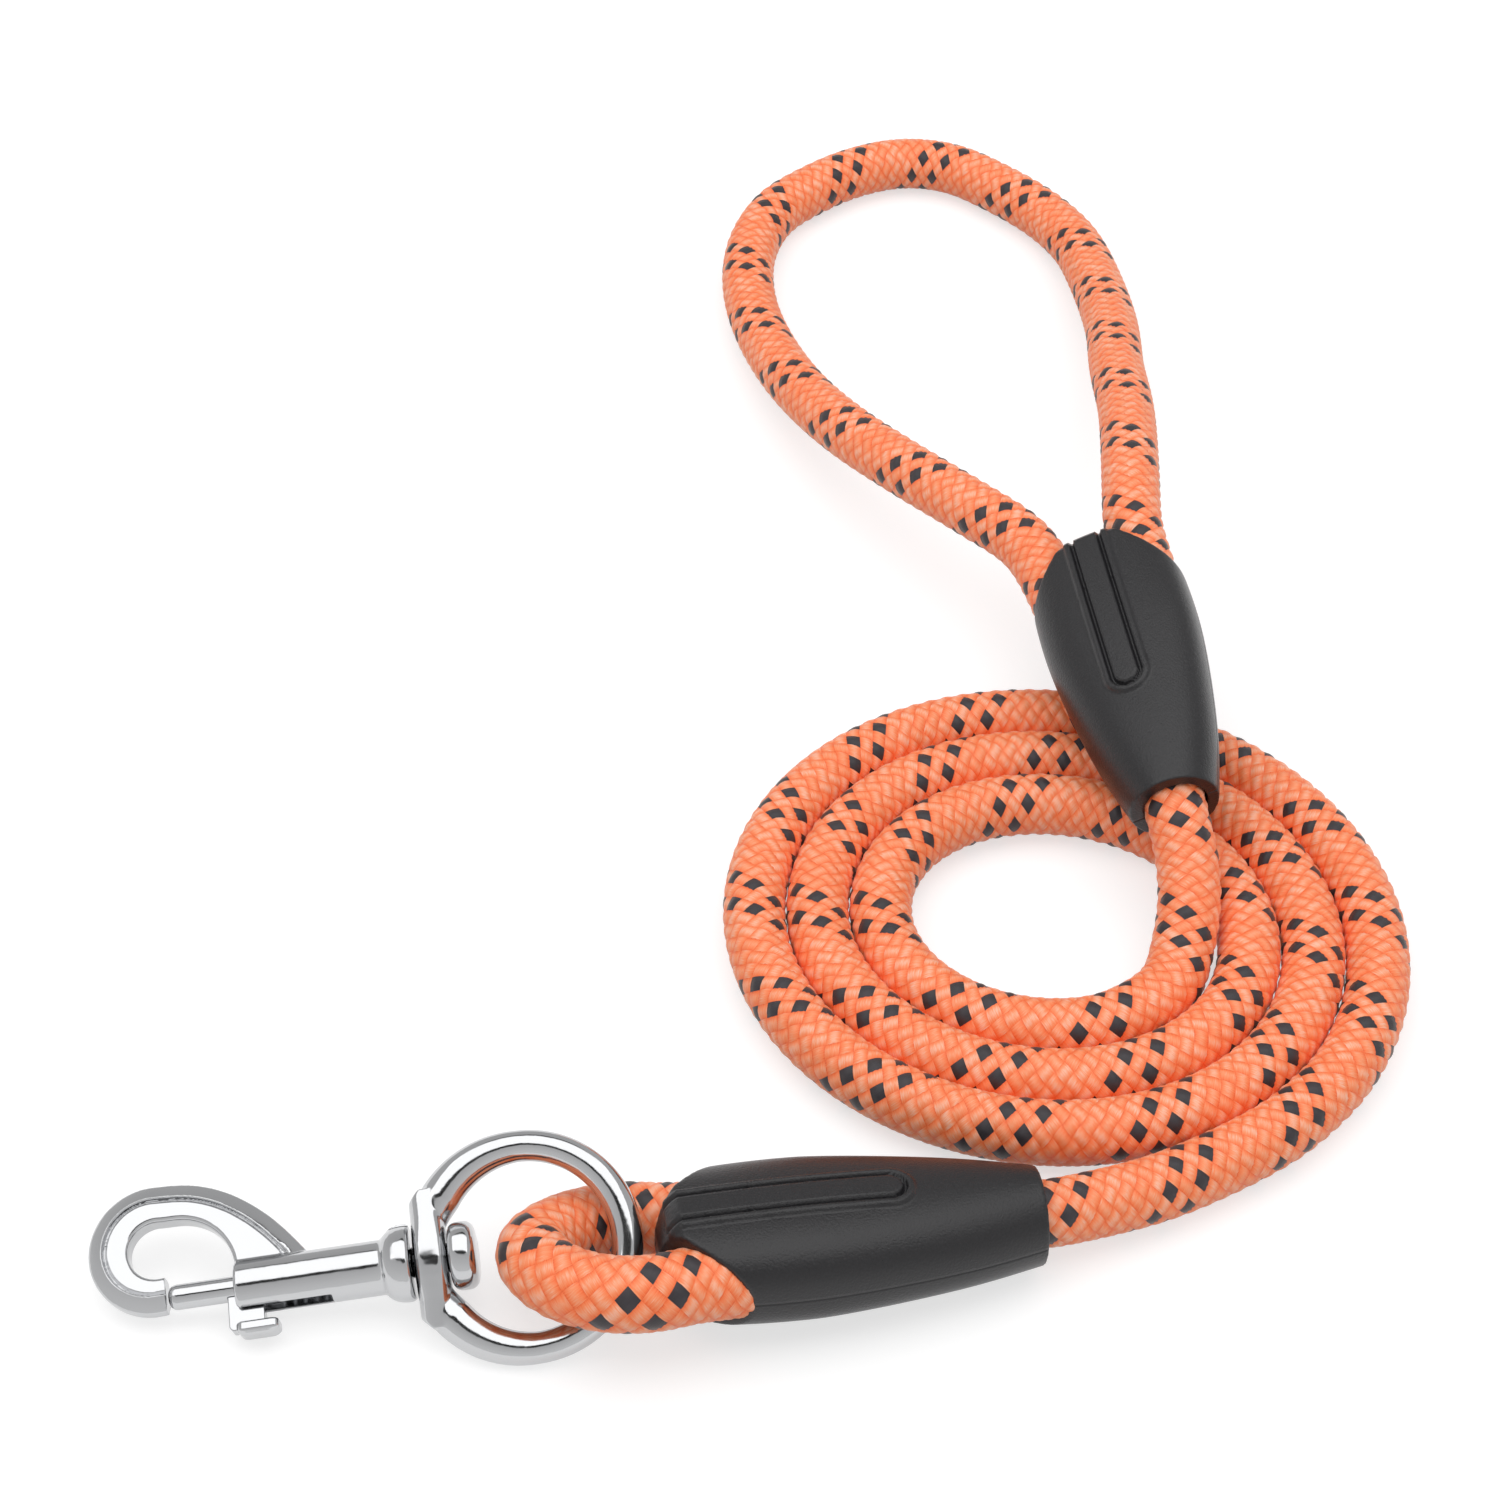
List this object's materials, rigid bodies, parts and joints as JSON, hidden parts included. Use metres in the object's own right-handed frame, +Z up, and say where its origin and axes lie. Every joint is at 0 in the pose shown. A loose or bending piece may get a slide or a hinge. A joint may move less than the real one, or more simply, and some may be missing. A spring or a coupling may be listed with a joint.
{
  "type": "rope dog lead",
  "caption": "Round braided rope dog lead lying in a flat coil, with a wrist loop, two moulded sleeves over the crimped joins, and a swivel bolt hook with its ring at the other end.",
  "frame": {"origin": "middle of the footprint of the sleeves, ring and snap, on the surface the lead lies on", "axes": "+X from the snap towards the coil, +Y from the snap end towards the hand loop, +Z up"},
  "size_m": [0.2372, 0.3533, 0.0382],
  "materials": {
    "rope": "braided polyester, orange with black tracer pairs",
    "rope_seal": "melted rope end",
    "sleeve": "black, fine grain",
    "crimp": "bare",
    "plated_metal": "bright plated casting",
    "spring_steel": "drawn wire"
  },
  "bodies": {
    "lead": {"hook_sleeve": "sleeve", "handle_sleeve": "sleeve", "hook_crimp": "crimp", "handle_crimp": "crimp", "rope_hook_eye": "rope", "rope_hook_run": "rope", "rope_hook_tail": "rope", "rope_coil_lead": "rope", "rope_coil": "rope", "rope_coil_rise": "rope", "rope_handle_run": "rope", "rope_handle_loop": "rope", "rope_handle_tail": "rope", "hook_tail_seal": "rope_seal", "handle_tail_seal": "rope_seal"},
    "ring": {"swivel_ring": "plated_metal"},
    "snap": {"snap_body": "plated_metal", "swivel_rivet": "plated_metal"},
    "bolt": {"bolt": "plated_metal", "thumb_knob": "plated_metal", "bolt_spring": "spring_steel"}
  },
  "joints": [
    {"name": "ring_swing", "type": "hinge", "parent": "lead", "child": "ring", "pos_m": [-0.01195, -0.08044, 0.00753], "axis": [0.5291, 0.7206, 0.4481], "range_deg": [0, 80]},
    {"name": "snap_swivel", "type": "hinge", "parent": "ring", "child": "snap", "pos_m": [-0.04293, -0.07385, 0.00999], "axis": [0.9894, 0.1005, 0.1045], "continuous": true},
    {"name": "bolt_slide", "type": "slide", "parent": "snap", "child": "bolt", "axis": [0.9894, 0.1005, 0.1045], "range_m": [0, 0.0115], "stiffness_N_per_m": 400, "springref_m": -0.006, "deforming": ["bolt_spring"]}
  ]
}
